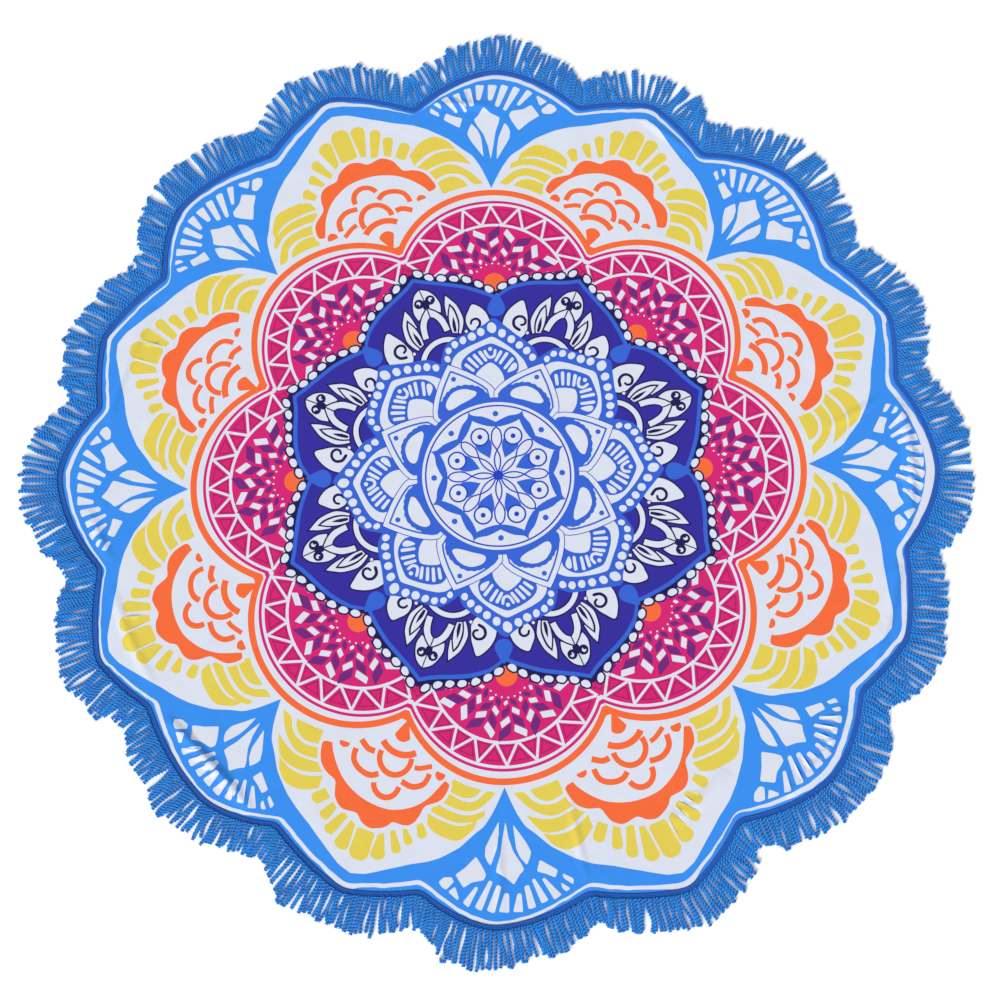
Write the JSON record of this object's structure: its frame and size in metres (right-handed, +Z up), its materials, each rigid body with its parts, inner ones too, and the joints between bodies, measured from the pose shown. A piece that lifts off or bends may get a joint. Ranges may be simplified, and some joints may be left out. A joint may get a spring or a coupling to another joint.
{
  "type": "round beach towel",
  "caption": "Round beach towel with a petal-shaped edge, a mandala print in blue, yellow, orange and magenta, and a blue twisted fringe.",
  "frame": {"origin": "middle of the towel's underside, where it lies on the floor", "axes": "+Z up through the cloth, +Y to the top of the print as seen from above, +X to its right"},
  "size_m": [1.5002, 1.4986, 0.009],
  "materials": {
    "printed_cloth": "matt printed weave",
    "blue_cord": "matt twisted yarn"
  },
  "bodies": {
    "root": {"cloth": "printed_cloth", "fringe": "blue_cord"}
  },
  "joints": []
}
